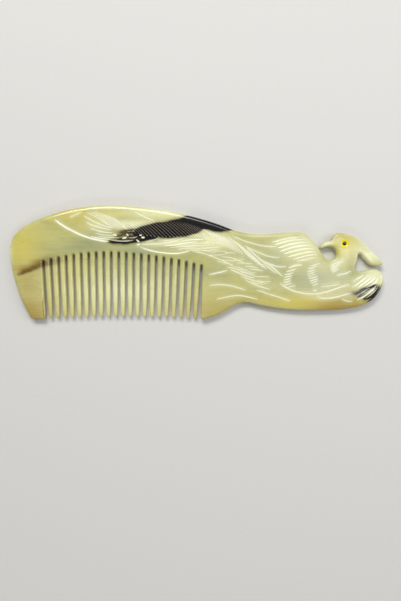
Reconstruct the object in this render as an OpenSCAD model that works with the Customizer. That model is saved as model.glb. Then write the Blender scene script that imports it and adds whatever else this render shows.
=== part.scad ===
// Decorative hair comb: a flat horn plate with a row of sawn teeth and a bird for a handle.
// +X runs from the end guard to the bird's tail, +Y from the tooth tips to the spine, and +Z up
// through the plate. The origin is under the middle of the comb, on its back face.
// The plate is one piece of horn, drawn as sections that meet face to face. Two neighbours share
// the end points of the straight cut between them, so that no gap or step is left.

/* [Plate] */
// Overall length of the comb
comb_l = 190; // [150:5:240]
// Thickness of the horn plate
plate_t = 4.5; // [4:0.1:7]

/* [Teeth] */
// Number of teeth between the end guard and the rear guard
tooth_count = 21; // [12:1:24]
// Width of the saw slots at the roots of the teeth
slot_root_w = 1.1; // [0.8:0.1:1.5]
// Width of the slots just above the rounded tips
slot_tip_w = 1.7; // [1.5:0.1:2]
// Thickness of a tooth at its tip
tooth_tip_t = 2.4; // [1.5:0.1:4]

/* [Eye] */
// Diameter of the ring let into each side of the head
eye_d = 4.4; // [3.5:0.1:5]
// Depth of the pocket that holds the ring
eye_inset = 1; // [0.6:0.1:1.4]
// Diameter of the bead in the middle of the ring
bead_d = 2.1; // [1.5:0.1:2.5]
// Depth of the hole that holds the bead
bead_inset = 1.6; // [1.5:0.1:1.9]
// How far the ring is dished towards the bead
eye_dish = 0.4; // [0.2:0.1:0.5]

/* [Hidden] */

$fn = 64;
HORN = "#c9c48a";
HORN_PALE = "#e6e6c4";
RING_YELLOW = "#e8dc1e";
BEAD_BLACK = "#141414";

// Every outline point below is given for a comb this long, and grows with comb_l
DRAWN_L = 190;
k = comb_l / DRAWN_L;
// Short straight steps that one span of a smooth edge is drawn with
STEPS = 6;
eps = 0.01;

// Point on the smooth curve from b to c, led by a and followed by d, where t runs from 0 to 1
function spline_point(a, b, c, d, t) =
    0.5 * (2 * b + (c - a) * t + (2 * a - 5 * b + 4 * c - d) * t * t
           + (3 * b - a - 3 * c + d) * t * t * t);

// Smooth edge through all the points p, scaled to the comb's length
function smooth_edge(p) = k * concat(
    [for (i = [0 : len(p) - 2], s = [0 : STEPS - 1])
        spline_point(p[max(i - 1, 0)], p[i], p[i + 1], p[min(i + 2, len(p) - 1)], s / STEPS)],
    [p[len(p) - 1]]);

// Stretch of a smooth edge from its point number a to its point number b
function stretch(edge, a, b) = [for (i = [a * STEPS : b * STEPS]) edge[i]];

// Arc about c of radius r, from angle a to angle b
function arc(c, r, a, b, steps) =
    [for (s = [0 : steps]) c + r * [cos(a + (b - a) * s / steps), sin(a + (b - a) * s / steps)]];

// Outer edge: up the end guard, over the spine and the wing, and down the wing to the beak hole
OUTER = [[-84, -28.6], [-88.5, -20.3], [-91.5, -12], [-93.7, -3.5], [-95, 5], [-93.7, 11.5],
         [-89.2, 16.9], [-79.6, 22], [-68, 25.9], [-56, 28.2], [-44, 29], [-31, 28.2], [-16, 26.2],
         [-3, 23.4], [9.5, 19.8], [20, 15.9], [28, 14.4], [36, 14.2], [45, 14.9], [51.5, 15.1],
         [55.6, 14.2], [59.2, 10.8], [62.3, 6.6], [63.6, 4.5], [64.9, 2.7], [66.2, 1.4], [67.6, 0.7]];
// Numbers of the points where the spine and the handle begin, and of the last point
OUTER_SPINE = 7;
OUTER_HANDLE = 14;
OUTER_END = len(OUTER) - 1;

// Bird's edge: forehead, crest, notch, tail lobe, the handle's underside, and the rear guard's foot
BIRD = [[68.6, 10.8], [69.4, 12.6], [70.8, 14.2], [72.8, 14.8], [76.2, 14.2], [80, 12.8],
        [84, 10.1], [87.9, 6.3], [91.5, 2.9], [94.1, 0.5], [94.9, -0.6], [94, -1.7], [92, -2.1],
        [89.5, -1.9], [87.3, -0.5], [85.2, 1.9], [83.5, 4], [82.5, 4.2], [82, 3], [81.8, 1],
        [80.9, -1.2], [80.3, -3], [80.9, -4.2], [82.6, -4.7], [85.5, -4.3], [89, -3.6],
        [91.9, -3.9], [94.2, -5.8], [95, -9], [94.2, -12.4], [92.6, -15.8], [89.4, -19.3],
        [84.5, -22], [78, -23.5], [70, -24.3], [60, -24.6], [50, -24.4], [40, -23.4], [32, -21.9],
        [25.5, -20.6], [20, -21.9], [14.5, -25], [9.5, -27.5], [5, -28.8], [2.6, -29]];
// Numbers of the points where the crest, the notch, the tail, the underside and the guard begin
BIRD_CREST = 6;
BIRD_NOTCH = 17;
BIRD_TAIL = 22;
BIRD_UNDERSIDE = 33;
BIRD_GUARD = 40;
BIRD_END = len(BIRD) - 1;

// Beak: along its underside from the head to the tip, and back over its top
BEAK = [[66.9, 8.04], [65.6, 7.65], [64.3, 7.15], [63.3, 6.95], [62.7, 7.3], [62.9, 8.2], [63.7, 9.2],
        [65, 10], [66.6, 10.4], [68.6, 10.8]];

// Round part of the beak hole
HOLE_AT = [67.6, 4.4];
HOLE_R = 3.7;
HOLE_FROM = -90;
HOLE_TO = 100;
HOLE_STEPS = 18;

// Foot of the end guard, from its inner corner outwards
GUARD_FOOT = [[-76.7, -28.4], [-77.3, -29], [-83.2, -29]];
// Inner corner of the rear guard's foot
REAR_CORNER = [2.1, -28.4];

// First and last slot: middle of the slot at its root and at the tooth tips
SLOT_ROOT_X = [-77.7, 2.6];
SLOT_TIP_X = [-76.1, 1.1];
// The roots lie on an arch that is highest here and falls away faster towards the end guard
ARCH_TOP = [-46, 4.9];
ARCH_FALL_LEFT = 0.00875;
ARCH_FALL_RIGHT = 0.00616;
ARCH_POWER = 1.8;
// Tooth tips: height at the ends of the row, and how much shorter the middle teeth are
TIP_Y = -28.9;
TIP_RISE = 1;
// Rounding of the closed end of a slot
SLOT_END_R = 0.4;
// Distance above the tips where a tooth starts to round off, and where it starts to narrow
TIP_ROUND = 1.6;
TIP_NARROW = 11;
// How much wider a slot is where the teeth start to narrow than at their roots
SLOT_GAIN = 0.15;
// Straight steps in the outline of a rounded tip
TIP_STEPS = 8;
// Height below which the teeth get thinner
THIN_Y = -6;
EYE_AT = [75.1, 9.3];

outer = smooth_edge(OUTER);
bird = smooth_edge(BIRD);
beak_edge = smooth_edge(BEAK);
// Round side of the hole, from the end of the wing to the start of the beak
hole_arc = arc(k * HOLE_AT, k * HOLE_R, HOLE_FROM, HOLE_TO, HOLE_STEPS);
hole_edge = concat(stretch(outer, OUTER_END, OUTER_END),
                   [for (i = [1 : HOLE_STEPS - 1]) hole_arc[i]],
                   [beak_edge[0]]);

// Height of the arch of tooth roots at x
function arch_y(x) =
    k * ARCH_TOP[1] - (x < k * ARCH_TOP[0] ? ARCH_FALL_LEFT : ARCH_FALL_RIGHT)
    * k * pow(abs(x / k - ARCH_TOP[0]), ARCH_POWER);

// Middle of slot i at its root and at the tips
function slot_root_x(i) = k * (SLOT_ROOT_X[0] + (SLOT_ROOT_X[1] - SLOT_ROOT_X[0]) * i / tooth_count);
function slot_tip_x(i) = k * (SLOT_TIP_X[0] + (SLOT_TIP_X[1] - SLOT_TIP_X[0]) * i / tooth_count);

// Corner of slot i at its root: side is -1 for the left corner and 1 for the right one
function slot_corner(i, side) =
    let (x = slot_root_x(i) + side * slot_root_w / 2) [x, arch_y(x)];

// Rounded closed end of slot i, from its right corner to its left one
function slot_end(i) = concat(
    [slot_corner(i, 1)],
    [for (a = [45, 90, 135])
        [slot_root_x(i) + cos(a) * slot_root_w / 2, arch_y(slot_root_x(i)) + sin(a) * SLOT_END_R]],
    [slot_corner(i, -1)]);

// Height of tooth i's tip
function tip_y(i) = k * (TIP_Y + TIP_RISE * sin(180 * (i + 0.5) / tooth_count));

// Point on the wall of slot i at height y, on the given side, with the slot w wide there
function slot_wall(i, side, y, w) =
    let (root_y = arch_y(slot_root_x(i)), t = (root_y - y) / (root_y - k * TIP_Y))
    [slot_root_x(i) + (slot_tip_x(i) - slot_root_x(i)) * t + side * w / 2, y];

// One tooth: straight flanks, a narrowing end and a rounded tip
function tooth_outline(i) =
    let (y = tip_y(i), narrow_y = y + TIP_NARROW, round_y = y + TIP_ROUND,
         left = slot_wall(i, 1, round_y, slot_tip_w),
         right = slot_wall(i + 1, -1, round_y, slot_tip_w),
         middle = (left + right) / 2,
         half = (right[0] - left[0]) / 2)
    concat([slot_corner(i + 1, -1), slot_wall(i + 1, -1, narrow_y, slot_root_w + SLOT_GAIN), right],
           [for (s = [1 : TIP_STEPS - 1])
               middle + [half * cos(180 * s / TIP_STEPS), -TIP_ROUND * sin(180 * s / TIP_STEPS)]],
           [left, slot_wall(i, 1, narrow_y, slot_root_w + SLOT_GAIN), slot_corner(i, 1)]);

// Flat section of the plate with the given outline
module horn_section(points) {
    linear_extrude(plate_t) polygon(points);
}

// Turns a piece made for the front face over to the back face
module on_back() {
    translate([0, 0, plate_t]) mirror([0, 0, 1]) children();
}

// Solid that holds the teeth, thinner towards the tips on both faces
module tooth_taper() {
    top_y = k * (ARCH_TOP[1] + 1);
    thinned = (plate_t - tooth_tip_t) / 2;
    profile = [[top_y, 0], [k * THIN_Y, 0], [k * TIP_Y, thinned],
               [k * TIP_Y, plate_t - thinned], [k * THIN_Y, plate_t], [top_y, plate_t]];
    translate([k * SLOT_ROOT_X[0], 0, 0])
        rotate([90, 0, 90])
            linear_extrude(k * (SLOT_ROOT_X[1] - SLOT_ROOT_X[0])) polygon(profile);
}

// Pockets for the ring and the bead in the front face
module eye_pocket() {
    translate(concat(k * EYE_AT, plate_t - eye_inset)) cylinder(d = eye_d, h = eye_inset + eps);
    translate(concat(k * EYE_AT, plate_t - bead_inset)) cylinder(d = bead_d, h = bead_inset);
}

// Ring with a dished face, flush with the horn at its rim
module eye_ring() {
    color(RING_YELLOW)
        translate(concat(k * EYE_AT, plate_t - eye_inset))
            rotate_extrude()
                polygon([[bead_d / 2, 0], [eye_d / 2, 0], [eye_d / 2, eye_inset],
                         [bead_d / 2, eye_inset - eye_dish]]);
}

// Bead with a domed top that stands up from the dish to the level of the horn
module eye_bead() {
    dome_r = (pow(bead_d / 2, 2) + pow(eye_dish, 2)) / (2 * eye_dish);
    color(BEAD_BLACK)
        translate(k * EYE_AT)
            intersection() {
                translate([0, 0, plate_t - bead_inset]) cylinder(d = bead_d, h = bead_inset);
                translate([0, 0, plate_t - dome_r]) sphere(r = dome_r);
            }
}

// Wide plain guard at the free end
module end_guard() {
    color(HORN)
        horn_section(concat(stretch(outer, 0, OUTER_SPINE), [slot_corner(0, -1)], k * GUARD_FOOT));
}

// Back of the comb above the teeth, with the closed ends of all the slots
module spine() {
    color(HORN)
        horn_section(concat(stretch(outer, OUTER_SPINE, OUTER_HANDLE),
                            [for (i = [tooth_count : -1 : 0]) each slot_end(i)]));
}

// Row of teeth
module teeth() {
    color(HORN)
        for (i = [0 : tooth_count - 1])
            intersection() {
                horn_section(tooth_outline(i));
                tooth_taper();
            }
}

// Wide guard at the handle end of the row
module rear_guard() {
    color(HORN)
        horn_section(concat([slot_corner(tooth_count, 1)], stretch(bird, BIRD_GUARD, BIRD_END),
                            [k * REAR_CORNER]));
}

// Bird's body and wing
module handle() {
    color(HORN)
        horn_section(concat(stretch(outer, OUTER_HANDLE, OUTER_END),
                            stretch(bird, BIRD_TAIL, BIRD_TAIL),
                            stretch(bird, BIRD_UNDERSIDE, BIRD_GUARD),
                            [slot_corner(tooth_count, 1)]));
}

// Head, with the pockets of both eyes
module bird_head() {
    color(HORN_PALE)
        difference() {
            horn_section(concat(stretch(bird, 0, BIRD_CREST),
                                stretch(bird, BIRD_NOTCH, BIRD_TAIL), hole_edge));
            eye_pocket();
            on_back() eye_pocket();
        }
}

// Beak that closes the hole above the wing
module beak() {
    color(HORN_PALE) horn_section(beak_edge);
}

// Pointed crest behind the head
module crest() {
    color(HORN_PALE) horn_section(stretch(bird, BIRD_CREST, BIRD_NOTCH));
}

// Fan-shaped tail lobe below the notch
module tail() {
    color(HORN_PALE) horn_section(stretch(bird, BIRD_TAIL, BIRD_UNDERSIDE));
}

module eye_ring_front() {
    eye_ring();
}

module eye_bead_front() {
    eye_bead();
}

module eye_ring_back() {
    on_back() eye_ring();
}

module eye_bead_back() {
    on_back() eye_bead();
}

end_guard();
spine();
teeth();
rear_guard();
handle();
bird_head();
beak();
crest();
tail();
eye_ring_front();
eye_bead_front();
eye_ring_back();
eye_bead_back();
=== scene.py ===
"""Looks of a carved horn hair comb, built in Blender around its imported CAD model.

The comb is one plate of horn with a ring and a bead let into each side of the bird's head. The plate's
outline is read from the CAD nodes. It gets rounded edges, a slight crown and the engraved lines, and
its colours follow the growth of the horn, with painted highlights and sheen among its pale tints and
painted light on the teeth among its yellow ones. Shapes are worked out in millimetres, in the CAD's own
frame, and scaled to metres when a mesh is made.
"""

import math

import bmesh
import bpy
import numpy as np
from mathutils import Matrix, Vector
from mathutils.geometry import delaunay_2d_cdt
from mathutils.kdtree import KDTree


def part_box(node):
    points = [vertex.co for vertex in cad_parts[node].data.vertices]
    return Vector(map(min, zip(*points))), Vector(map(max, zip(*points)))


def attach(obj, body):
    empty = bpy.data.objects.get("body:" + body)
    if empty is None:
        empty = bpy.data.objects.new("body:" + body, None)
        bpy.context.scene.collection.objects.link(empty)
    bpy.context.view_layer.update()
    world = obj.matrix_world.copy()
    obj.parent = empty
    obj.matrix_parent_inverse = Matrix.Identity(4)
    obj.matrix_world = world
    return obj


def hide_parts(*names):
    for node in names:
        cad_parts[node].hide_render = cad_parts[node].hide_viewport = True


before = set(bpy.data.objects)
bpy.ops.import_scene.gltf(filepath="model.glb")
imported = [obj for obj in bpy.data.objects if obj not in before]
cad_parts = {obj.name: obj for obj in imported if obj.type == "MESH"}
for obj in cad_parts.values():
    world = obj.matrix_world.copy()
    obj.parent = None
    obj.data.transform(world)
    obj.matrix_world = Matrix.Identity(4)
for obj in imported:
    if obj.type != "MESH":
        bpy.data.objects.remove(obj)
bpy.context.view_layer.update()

MM = 0.001

HORN_NODES = ("end_guard", "spine", "teeth", "rear_guard", "handle", "bird_head", "beak", "crest", "tail")
PLATE_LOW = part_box("spine")[0].z / MM
PLATE_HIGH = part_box("spine")[1].z / MM
MIDDLE_Z = (PLATE_LOW + PLATE_HIGH) / 2
HALF_THICK = (PLATE_HIGH - PLATE_LOW) / 2


# ---------------------------------------- outline of the plate

# Least upward part of the normal of a front face, and of a level one
UPWARD = 0.5
LEVEL = 0.9999
# Depth from which a level face is the bottom of a pocket
POCKET_LEAST = 0.1
# Corners of neighbouring sections this close are one
MERGE_DISTANCE = 0.008
# Spacing of the outline's points while it is worked on
FINE_STEP = 0.3
ROUNDING_PASSES = 3
# The finished outline has a point after each such turn or length
TURN_STEP = math.radians(10)
LONG_STEP = 1.1


def front_faces():
    """Upward faces of the horn's CAD nodes as one flat mesh, without the bottoms of pockets."""
    flat = bmesh.new()
    for name in HORN_NODES:
        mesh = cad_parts[name].data
        made = {}
        for polygon in mesh.polygons:
            in_pocket = polygon.normal.z > LEVEL and polygon.center.z / MM < PLATE_HIGH - POCKET_LEAST
            if polygon.normal.z < UPWARD or in_pocket:
                continue
            corners = []
            for index in polygon.vertices:
                if index not in made:
                    place = mesh.vertices[index].co / MM
                    made[index] = flat.verts.new((place.x, place.y, 0))
                corners.append(made[index])
            flat.faces.new(corners)
    bmesh.ops.remove_doubles(flat, verts=flat.verts, dist=MERGE_DISTANCE)
    return flat


def plate_loops():
    """Closed outlines of the plate's front face, the longest first."""
    flat = front_faces()
    following = {}
    for edge in flat.edges:
        if len(edge.link_faces) == 1:
            for loop in edge.link_loops:
                following[loop.vert] = loop.link_loop_next.vert
    loops = []
    while following:
        start = vert = next(iter(following))
        loop = []
        while vert in following:
            loop.append((vert.co.x, vert.co.y))
            vert = following.pop(vert)
        if vert == start:
            loops.append(np.array(loop))
    flat.free()
    return sorted(loops, key=len, reverse=True)


def even_points(loop, step):
    """Points a step apart along a closed loop, its straight edges kept straight."""
    closed = np.vstack([loop, loop[:1]])
    along = lengths_along(closed)
    count = round(along[-1] / step)
    at = np.arange(count) * along[-1] / count
    return np.column_stack([np.interp(at, along, closed[:, axis]) for axis in (0, 1)])


def lengths_along(line):
    """Length run through up to each point of a line."""
    return np.concatenate([[0], np.cumsum(np.linalg.norm(np.diff(line, axis=0), axis=1))])


def rounded(loop, passes):
    """Loop with its corners eased, each pass by half of a point's distance from its neighbours' middle."""
    for _ in range(passes):
        loop = loop / 2 + (np.roll(loop, 1, axis=0) + np.roll(loop, -1, axis=0)) / 4
    return loop


def thinned_out(loop):
    """Every point where the loop has turned by TURN_STEP or run for LONG_STEP since the last one kept."""
    ahead = np.roll(loop, -1, axis=0) - loop
    heading = np.unwrap(np.arctan2(ahead[:, 1], ahead[:, 0]))
    kept, turned_by, run = [0], 0.0, 0.0
    for i in range(1, len(loop)):
        turned_by += abs(heading[i] - heading[i - 1])
        run += np.linalg.norm(loop[i] - loop[i - 1])
        if turned_by > TURN_STEP or run > LONG_STEP:
            kept.append(i)
            turned_by, run = 0.0, 0.0
    return loop[kept]


def inward_normals(loop):
    """Unit normals into the horn, which is on the left of a loop."""
    along = np.roll(loop, -1, axis=0) - np.roll(loop, 1, axis=0)
    along /= np.linalg.norm(along, axis=1, keepdims=True)
    return np.column_stack([-along[:, 1], along[:, 0]])


# ---------------------------------------- rounded edge and thickness of the plate

RIM_STEPS = 5
RIM_WIDTH = 2.1
RIM_HEIGHT = 1.45
# The rim is narrower round the teeth and this far beyond them
SLOT_RIM_WIDTH = 0.95
SLOT_MARGIN = 1.5
# It narrows to the bird's own width over these distances before the beak's tip
BIRD_RIM_WIDTH = 1.3
BIRD_RIM_FROM = 22.0
BIRD_RIM_TO = 12.0
# Most of the horn's half width and half thickness that the rim takes up
RIM_SHARE_OF_WIDTH = 0.78
RIM_SHARE_OF_THICKNESS = 0.72
RIM_NARROWEST = 0.22
# Points whose squared distance is below this, or that are hardly ahead, don't count for the free width
NEAR_DISTANCE2 = 0.2
LEAST_RISE = 1e-3
CROWN_DROP = 0.3
CROWN_REACH = 6.5
# The teeth thin from this Y down to their tips
THIN_FROM_Y = -6.0


def free_radius(loop, normals, others):
    """Radius of the largest circle inside the horn that touches the loop at each of its points."""
    radius = np.empty(len(loop))
    for i, (point, normal) in enumerate(zip(loop, normals)):
        away = others - point
        distance2 = (away**2).sum(1)
        rise = away @ normal
        facing = (rise > LEAST_RISE) & (distance2 > NEAR_DISTANCE2)
        radius[i] = (distance2[facing] / (2 * rise[facing])).min()
    return radius


def rim_widths(loop, normals, others):
    """Width of the rounded edge at each point, narrower where the horn is narrow."""
    low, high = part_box("teeth")
    by_teeth = ((loop[:, 0] > low.x / MM - SLOT_MARGIN) & (loop[:, 0] < high.x / MM + SLOT_MARGIN)
                & (loop[:, 1] < high.y / MM + SLOT_MARGIN))
    beak_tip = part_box("beak")[0].x / MM
    plain = np.interp(loop[:, 0], [beak_tip - BIRD_RIM_FROM, beak_tip - BIRD_RIM_TO],
                      [RIM_WIDTH, BIRD_RIM_WIDTH])
    widest = np.where(by_teeth, SLOT_RIM_WIDTH, plain)
    width = np.clip(RIM_SHARE_OF_WIDTH * free_radius(loop, normals, others), RIM_NARROWEST, widest)
    lowest = np.minimum(width, np.minimum(np.roll(width, 1), np.roll(width, -1)))
    return (lowest + (np.roll(lowest, 1) + np.roll(lowest, -1)) / 2) / 2


def tip_half_thickness():
    """Half thickness of the CAD teeth where they end."""
    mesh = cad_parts["teeth"].data
    lowest = min(mesh.vertices, key=lambda vert: (round(vert.co.y, 5), -vert.co.z))
    return lowest.co.z / MM - MIDDLE_Z


def half_thickness(points):
    """Half thickness of the plate at each point: full except in the teeth, which thin to their tips."""
    low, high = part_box("teeth")
    in_teeth = (points[:, 0] > low.x / MM) & (points[:, 0] < high.x / MM)
    tooth = np.interp(points[:, 1], [low.y / MM, THIN_FROM_Y], [tip_half_thickness(), HALF_THICK])
    return np.where(in_teeth, tooth, HALF_THICK)


def crown(distance):
    """How far the face lies below its highest level at a distance from the plate's edge."""
    return CROWN_DROP * np.clip(1 - distance / CROWN_REACH, 0, 1) ** 2


# ---------------------------------------- engraved lines
# Each line is the width of its cut and the points that the graver runs through on a smooth curve.

BAND, WIDE, BROAD, MEDIUM, FINE, HAIR, THREAD = 1.5, 1.3, 1.05, 0.8, 0.62, 0.5, 0.43

BACK_LINES = [
    (WIDE, [(-75.2, 24), (-72, 21.8), (-70, 20.2), (-66, 17.6), (-62, 15.5), (-58, 13.6), (-54, 12.2),
            (-50, 11.2), (-46, 10.5), (-44, 10.3)]),
    (MEDIUM, [(-54, 13), (-50, 12.2), (-46, 11.6), (-43, 11.3)]),
    (HAIR, [(-64.5, 22.3), (-61, 24), (-57.5, 25.8)]),
]
SHOULDER_LINES = [
    (MEDIUM, [(-57.3, 23.7), (-54.5, 22), (-51.5, 20.4), (-48, 18.8), (-45, 17.8), (-42, 16.8)]),
    (MEDIUM, [(-56.2, 20.2), (-53, 18.8), (-50, 17.9), (-46, 16.8), (-42.5, 16)]),
    (MEDIUM, [(-53.8, 17.2), (-50, 15.8), (-46, 15), (-42, 14.7)]),
    (FINE, [(-51.5, 14.6), (-48, 13.9), (-44, 13.4), (-41, 13.6)]),
    (FINE, [(-50, 13.1), (-46, 12.5), (-42, 12.3), (-38.5, 12)]),
    (FINE, [(-43.4, 11), (-40, 10.6), (-36, 10.5), (-31.8, 10.9)]),
    (HAIR, [(-34.4, 12.2), (-31.4, 12.2), (-29.6, 13)]),
    (MEDIUM, [(-33, 26), (-30, 24.8), (-27, 23.3), (-24, 21.9), (-20.5, 20.6)]),
]
SPECKS = [
    (WIDE, [(-42.2, 13.9), (-41.2, 13.6), (-40, 13.4)]),
    (WIDE, [(-37.6, 11.7), (-36.4, 12.1), (-35, 12.7)]),
    (BROAD, [(-35.4, 14.4), (-34.8, 13.5), (-34.2, 12.8)]),
    (WIDE, [(-28, 12.4), (-27, 12.3), (-26, 12.4)]),
    (BROAD, [(-29.1, 13.7), (-28.2, 13.5), (-27.3, 13.7)]),
    (BROAD, [(-30.4, 11.4), (-29.6, 10.6), (-28.6, 9.9)]),
    (BROAD, [(-30.2, 8.9), (-29.3, 8.8), (-28.4, 8.9)]),
]
UNDER_PATCH_LINES = [
    (MEDIUM, [(-28.5, 9), (-22, 9), (-18, 9.4), (-14, 10), (-10, 10.9), (-7, 11.8), (-4, 12)]),
    (FINE, [(-26, 10.2), (-22, 11), (-19, 12.2)]),
    (BROAD, [(-17, 8.1), (-12, 8.6), (-8, 9.3), (-3, 10), (1, 10.2)]),
    (FINE, [(-20, 10.4), (-14, 11), (-9, 12)]),
    (BROAD, [(-8, 10.6), (-2, 11.5), (4, 11.4)]),
    (MEDIUM, [(-3, 9.1), (3, 9.5), (9, 8.8)]),
    (MEDIUM, [(-6, 5.9), (0, 6), (6, 5.9), (12, 6.4)]),
    (MEDIUM, [(-14, 7.2), (-6, 7.9), (0, 8.2), (4, 8.3), (7.2, 8.6)]),
    (MEDIUM, [(-10, 6.4), (-4, 7), (2, 6.9), (8, 7.3), (13, 7.7)]),
    (FINE, [(2, 10.3), (6, 10.2), (10, 9.4)]),
    (BROAD, [(-28.8, 7.6), (-26, 6.7), (-22, 5.6), (-18, 4.9), (-14, 4.5), (-10, 4.4), (-6, 5),
             (-3, 5.6)]),
    (MEDIUM, [(-2.4, 5.4), (2, 4.7), (5, 3.9), (8, 2.8), (12, 1.2), (16, -0.6), (20, -3)]),
    (FINE, [(3, 5.6), (8, 5), (12, 5.5), (14, 5.2), (18, 4.3)]),
    (FINE, [(5, 3.7), (10, 3.5), (16, 4.1)]),
    (FINE, [(11, 1.3), (16, 0.8), (20, 0.9), (25, 1.3)]),
]
HANDLE_LINES = [
    (MEDIUM, [(16, 15), (18, 13.6), (20, 12.4), (23, 11.1), (26, 10.1), (30, 8.9), (34, 8.1), (38, 7.8),
              (41, 7.7)]),
    (MEDIUM, [(24, 8.4), (27, 6.8), (30, 5.4), (33, 4.1), (36, 3), (39, 2.4), (42.5, 2.3)]),
    (BROAD, [(25, 7.4), (28, 5.2), (30.5, 3), (33, 1), (36, -0.5), (39, -1.7), (42, -2.4), (46, -2.3)]),
    (BROAD, [(31, 1.8), (34, -0.3), (37, -1.6), (39.5, -3.2), (41.5, -5.2), (44, -7.8)]),
    (MEDIUM, [(33, -0.9), (36, -2.2), (38, -3.8), (40, -5.4)]),
    (FINE, [(30, 0.6), (33, -1.9), (36, -3.9)]),
    (MEDIUM, [(34, -1.2), (37.5, -3.6), (41, -6.2)]),
    (MEDIUM, [(36.5, -1.6), (39.4, -3.8), (42.6, -6.8)]),
    (FINE, [(14, 4.5), (18, 4.6), (20.5, 4.2)]),
    (FINE, [(10, 0.7), (14, -0.4), (19, -1.5)]),
    (FINE, [(20, -0.5), (25, -0.6), (29, -1)]),
    (MEDIUM, [(24, -2.2), (28, -2.4), (32, -3.2)]),
    (MEDIUM, [(26, -3.5), (30, -3.9), (34.5, -4.6)]),
    (FINE, [(15, -2.5), (20, -3.4), (26, -4.6)]),
    (MEDIUM, [(20, -3.9), (25, -5.4), (30, -6.4)]),
    (BROAD, [(17, -3.7), (20, -4.9), (24, -6.6), (27, -7.6), (30, -8.3)]),
    (FINE, [(22, -5), (26, -6), (30, -7.3), (33.5, -7.4), (37.5, -7.8)]),
    (MEDIUM, [(22, -7), (25, -8.2), (29, -9.4), (32, -10.2), (36, -11)]),
    (MEDIUM, [(24.2, -8.9), (27, -10.2), (30, -11.6), (33, -12.7), (38, -14.1)]),
    (FINE, [(27, -9.4), (30, -10.6), (34, -11.8)]),
    (FINE, [(12, 2.5), (17, 2.3), (22, 0.5), (26.6, -1.2)]),
    (FINE, [(19, -2.3), (23, -3.3), (27, -5), (31, -5.8)]),
    (FINE, [(30, -9), (33, -9.8), (38, -10)]),
    (BROAD, [(6, -6.6), (10, -5.6), (14, -4.7), (16, -4.2)]),
    (MEDIUM, [(6, -12), (10, -11.5), (14, -11.6), (18, -12.2), (22, -13.3), (25.5, -14.4)]),
    (MEDIUM, [(30, -14.2), (33, -15), (36, -16.1), (40, -17.3), (44, -18.6), (48, -20)]),
    (MEDIUM, [(10, -19), (14, -18), (18, -17.2), (22, -17), (26, -17.7), (31.5, -19.1)]),
]
WING_LINES = [
    (BAND, [(38, 12), (43, 13), (48, 13.6)]),
    (BAND, [(38, 9.9), (44, 11.6), (50, 12.6), (56, 12.9)]),
    (BAND, [(39.5, 8.6), (44, 10.3), (50, 11.4), (57.5, 11.7)]),
    (BAND, [(41, 6.9), (46, 8.9), (52, 10), (58.5, 10.4)]),
    (BAND, [(42, 5.2), (46, 6.9), (52, 8.4), (59.8, 8.9)]),
    (BAND, [(44, 4), (48, 5.5), (54, 6.8), (60.8, 7.3)]),
    (BAND, [(46, 2.4), (50, 3.8), (56, 5.2), (61.8, 5.7)]),
    (BAND, [(48.5, 1.2), (52, 2.4), (57, 3.6), (62.8, 4.2)]),
    (BAND, [(50.5, 0.3), (55, 1.5), (59, 2.3), (64, 2.6)]),
]
BODY_LINES = [
    (WIDE, [(46.2, -3.2), (48, -2.5), (50, -1.8), (54, -1.2)]),
    (BROAD, [(45.2, -4.9), (48, -4.3), (51, -3.2)]),
    (BROAD, [(44.4, -6.5), (47, -6.1), (49.4, -5.2)]),
    (BROAD, [(44, -7.9), (46.4, -7.4), (49, -6.7)]),
    (BROAD, [(43.7, -9.2), (46, -8.8), (48.4, -8.1)]),
    (BROAD, [(43.6, -10.4), (46, -10), (48.3, -9.3)]),
    (MEDIUM, [(43.9, -11.6), (46, -11.3), (48.7, -10.7)]),
    (MEDIUM, [(46, -12.8), (48, -12.4), (50.5, -12)]),
    (BROAD, [(57, -2.3), (60, -1.5), (62.8, -0.4)]),
    (BROAD, [(56.3, -3.6), (58.6, -3), (61, -2.1)]),
    (BROAD, [(56, -5), (58.2, -4.4), (60.6, -3.6)]),
    (MEDIUM, [(56, -6.2), (58.4, -5.6), (60.8, -4.8)]),
    (MEDIUM, [(56, -7.3), (58.4, -6.8), (60.8, -6)]),
    (BROAD, [(56.5, -8.5), (59, -8), (61.6, -7.2)]),
    (BROAD, [(57, -9.7), (59.4, -9.1), (62, -8.3)]),
    (MEDIUM, [(57.6, -10.8), (59.6, -10.2), (61.8, -9.5)]),
    (MEDIUM, [(58.4, -11.9), (60.2, -11.4), (62, -10.7)]),
    (BROAD, [(42, -10.5), (44, -12), (47, -13.7), (50, -14.9), (54, -15.8), (58, -16.1), (62, -15.9),
             (66, -15), (70, -13.6), (74, -12.3), (78, -11.4)]),
    (BROAD, [(58.8, -14.5), (61.4, -14.3)]),
    (MEDIUM, [(62.5, -12.3), (66, -12.1), (70, -11.6), (73, -11)]),
    (BROAD, [(60.3, -17.3), (63, -18.1), (65.5, -18.3), (68, -18.1), (71, -17.6), (74, -16.8), (77, -16),
             (79, -15.6)]),
    (MEDIUM, [(73, -18.8), (76, -19.7), (79.5, -20.1)]),
]
NECK_LINES = [
    (MEDIUM, [(67.8, -2.2), (69.6, -1.3), (72.2, 0.1), (75, 2.2)]),
    (MEDIUM, [(68, -3.2), (70.2, -2.2), (72.6, -0.7), (75.2, 0.9)]),
    (MEDIUM, [(67.8, -4.3), (69.6, -3.4), (72.2, -1.9)]),
    (MEDIUM, [(68.2, -5.4), (70, -4.5), (72.4, -3)]),
    (MEDIUM, [(70.6, -7), (73, -6.3), (76, -5.6), (79.4, -4.1)]),
]
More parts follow.
